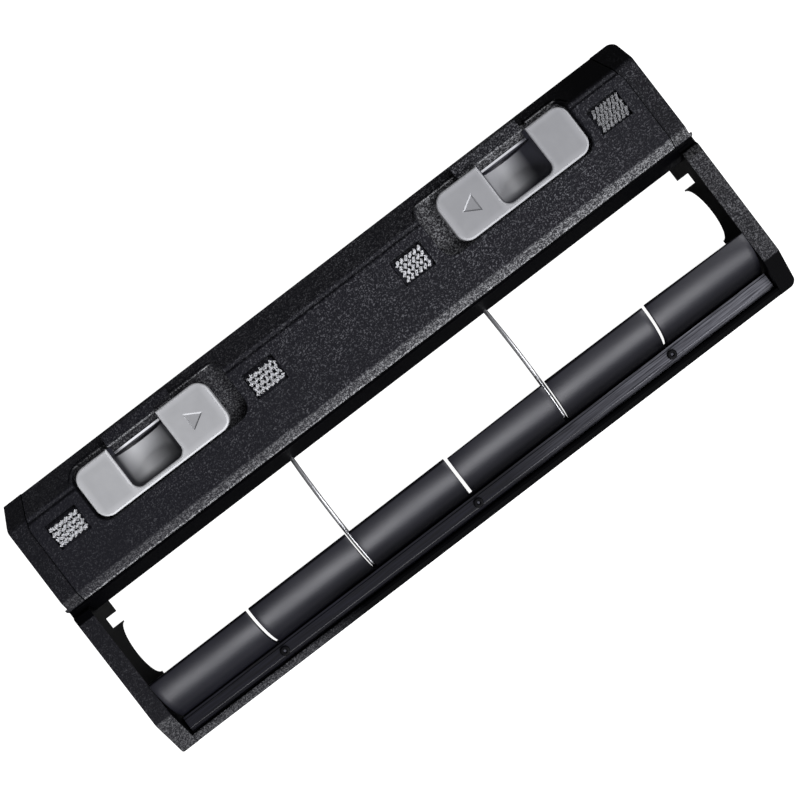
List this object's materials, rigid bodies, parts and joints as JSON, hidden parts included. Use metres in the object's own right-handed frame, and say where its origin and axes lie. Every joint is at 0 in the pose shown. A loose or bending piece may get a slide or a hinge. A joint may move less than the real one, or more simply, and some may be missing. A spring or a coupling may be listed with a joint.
{
  "type": "robot vacuum main brush cover",
  "caption": "Removable floor-side cover of a robot vacuum's main brush: framed window with guard wires, rubber scraper flaps, pile pads and sliding latches with finger bowls.",
  "frame": {"origin": "centre of the footprint, on the plane that the end walls stand on when the cover lies floor face up", "axes": "+X along the cover, +Y to the side with the latches, +Z out of the floor face"},
  "size_m": [0.203, 0.0796, 0.0238],
  "materials": {
    "frame": "fine spark-eroded texture on the rails, smooth on the nose",
    "skid_panel": "fine spark-eroded texture",
    "pile": "short dense bristle pile",
    "latch": "satin",
    "keeper": "satin",
    "screw": "zinc plated",
    "spring": "bright wire",
    "wire": "polished stainless steel",
    "scraper": "smooth satin rubber",
    "retainer": "smooth, slightly brushed",
    "rivet": "smooth"
  },
  "bodies": {
    "frame": {"frame": "frame", "skid_panel": "skid_panel", "pile_pad_1": "pile", "pile_pad_2": "pile", "pile_pad_3": "pile", "pile_pad_4": "pile", "latch_spring_left": "spring", "latch_spring_right": "spring", "panel_screws": "screw", "guard_wire_left": "wire", "guard_wire_right": "wire", "scraper_strip": "scraper", "scraper_retainer": "retainer", "retainer_rivets": "rivet"},
    "latch_left": {"latch_left": "latch", "latch_keeper_left": "keeper", "keeper_screws_left": "screw"},
    "latch_right": {"latch_right": "latch", "latch_keeper_right": "keeper", "keeper_screws_right": "screw"}
  },
  "joints": [
    {"name": "latch_left_slide", "type": "slide", "parent": "frame", "child": "latch_left", "axis": [1, 0, 0], "range_m": [0, 0.005], "stiffness_N_per_m": 600, "springref_m": -0.004, "deforming": ["latch_spring_left"]},
    {"name": "latch_right_slide", "type": "slide", "parent": "frame", "child": "latch_right", "axis": [-1, 0, 0], "range_m": [0, 0.005], "stiffness_N_per_m": 600, "springref_m": -0.004, "deforming": ["latch_spring_right"]}
  ]
}
